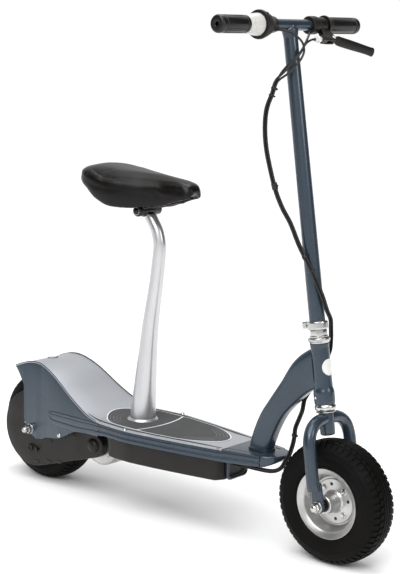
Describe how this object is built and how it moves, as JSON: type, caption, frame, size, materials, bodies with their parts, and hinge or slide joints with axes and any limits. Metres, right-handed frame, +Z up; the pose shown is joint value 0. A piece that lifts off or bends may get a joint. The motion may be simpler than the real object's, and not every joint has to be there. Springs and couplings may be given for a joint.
{
  "type": "seated electric scooter",
  "caption": "Seated electric scooter with pneumatic tyres, twist throttle, hand brake, chain drive, underslung battery case and a padded saddle on a bent post.",
  "frame": {"origin": "on the ground, midway between the two wheel axles, which is the bottom centre of the bounding box", "axes": "+X forward, +Y to the rider's left, +Z up; the steering is straight ahead at rest"},
  "size_m": [1.062, 0.4386, 1.078],
  "materials": {
    "frame_paint": "glossy metallic blue-grey paint",
    "silver_paint": "satin silver paint",
    "wheel_alloy": "satin cast alloy",
    "bright_steel": "bright zinc and chrome plating",
    "drive_steel": "plain steel",
    "chain_steel": "oiled dark steel",
    "case_plastic": "brown-black moulded plastic with a fine grain",
    "battery_shell": "plain dark plastic",
    "black_steel": "black paint",
    "seat_vinyl": "smooth dark brown-black vinyl",
    "seat_base": "black moulded plastic",
    "black_rubber": "black rubber",
    "cable_sheath": "black plastic sheath",
    "tyre_rubber": "dark grey-black tyre rubber",
    "grip_sheet": "dark grey grit sheet",
    "sleeve_white": "milky white plastic"
  },
  "bodies": {
    "frame": {"rail_left": "frame_paint", "rail_right": "frame_paint", "side_plate_left": "frame_paint", "side_plate_right": "frame_paint", "deck_nose": "frame_paint", "neck_tube": "frame_paint", "head_tube": "frame_paint", "motor_mount": "frame_paint", "case_hanger": "frame_paint", "deck_plate": "silver_paint", "rear_fender": "silver_paint", "seat_post_flange": "silver_paint", "seat_post": "silver_paint", "motor": "wheel_alloy", "controller": "wheel_alloy", "rear_axle": "bright_steel", "rear_axle_nut": "bright_steel", "headset_cup_lower": "bright_steel", "headset_cup_upper": "bright_steel", "seat_clamp_bolt": "bright_steel", "brake_band": "drive_steel", "drive_chain": "chain_steel", "battery_case": "case_plastic", "chain_guard": "case_plastic", "battery_rear": "battery_shell", "battery_front": "battery_shell", "seat_clamp": "black_steel", "saddle_rails": "black_steel", "seat_cushion": "seat_vinyl", "seat_pan": "seat_base", "seat_bumper_left": "black_rubber", "seat_bumper_right": "black_rubber", "throttle_cable": "cable_sheath", "switch_cable": "cable_sheath", "brake_cable": "cable_sheath", "grip_pad_front": "grip_sheet", "grip_pad_rear": "grip_sheet"},
    "steering": {"fork_steerer": "frame_paint", "fork_leg_left": "frame_paint", "fork_leg_right": "frame_paint", "headset_locknut": "bright_steel", "stem": "frame_paint", "stem_collar": "bright_steel", "handlebar": "frame_paint", "grip_right": "black_rubber", "grip_left": "black_rubber", "throttle_housing": "case_plastic", "switch_collar": "case_plastic", "lever_bracket": "case_plastic", "front_axle": "bright_steel"},
    "front_wheel": {"front_rim": "wheel_alloy", "front_tyre": "tyre_rubber"},
    "rear_wheel": {"rear_rim": "wheel_alloy", "rear_tyre": "tyre_rubber", "wheel_sprocket": "drive_steel", "brake_drum": "drive_steel"},
    "motor_shaft": {"motor_sprocket": "drive_steel"},
    "throttle": {"throttle_sleeve": "sleeve_white"},
    "lever": {"brake_lever": "case_plastic"},
    "band_arm": {"brake_arm": "drive_steel"}
  },
  "joints": [
    {"name": "steering_turn", "type": "hinge", "parent": "frame", "child": "steering", "pos_m": [0.40304, 0, 0.12453], "axis": [-0.1564, 0, 0.9877], "range_deg": [-45, 45], "deforming": ["throttle_cable", "switch_cable", "brake_cable"]},
    {"name": "front_wheel_spin", "type": "hinge", "parent": "steering", "child": "front_wheel", "pos_m": [0.406, 0, 0.125], "axis": [0, 1, 0], "continuous": true},
    {"name": "rear_wheel_spin", "type": "hinge", "parent": "frame", "child": "rear_wheel", "pos_m": [-0.406, 0, 0.125], "axis": [0, 1, 0], "continuous": true},
    {"name": "motor_spin", "type": "hinge", "parent": "frame", "child": "motor_shaft", "pos_m": [-0.207, 0, 0.1245], "axis": [0, 1, 0], "continuous": true},
    {"name": "throttle_twist", "type": "hinge", "parent": "steering", "child": "throttle", "pos_m": [0.25646, 0, 1.05], "axis": [0, -1, 0], "range_deg": [0, 70], "stiffness_Nm_per_rad": 0.3},
    {"name": "brake_lever_pull", "type": "hinge", "parent": "steering", "child": "lever", "pos_m": [0.28333, 0.105, 1.02313], "axis": [0.7071, 0, 0.7071], "range_deg": [0, 18], "stiffness_Nm_per_rad": 3},
    {"name": "brake_arm_swing", "type": "hinge", "parent": "frame", "child": "band_arm", "pos_m": [-0.352, 0.0616, 0.152], "axis": [0, 1, 0], "range_deg": [0, 18], "stiffness_Nm_per_rad": 0.5}
  ],
  "couplings": [
    {"joint": "motor_spin", "follows": "rear_wheel_spin", "ratio": 5},
    {"joint": "brake_arm_swing", "follows": "brake_lever_pull", "ratio": 1}
  ]
}
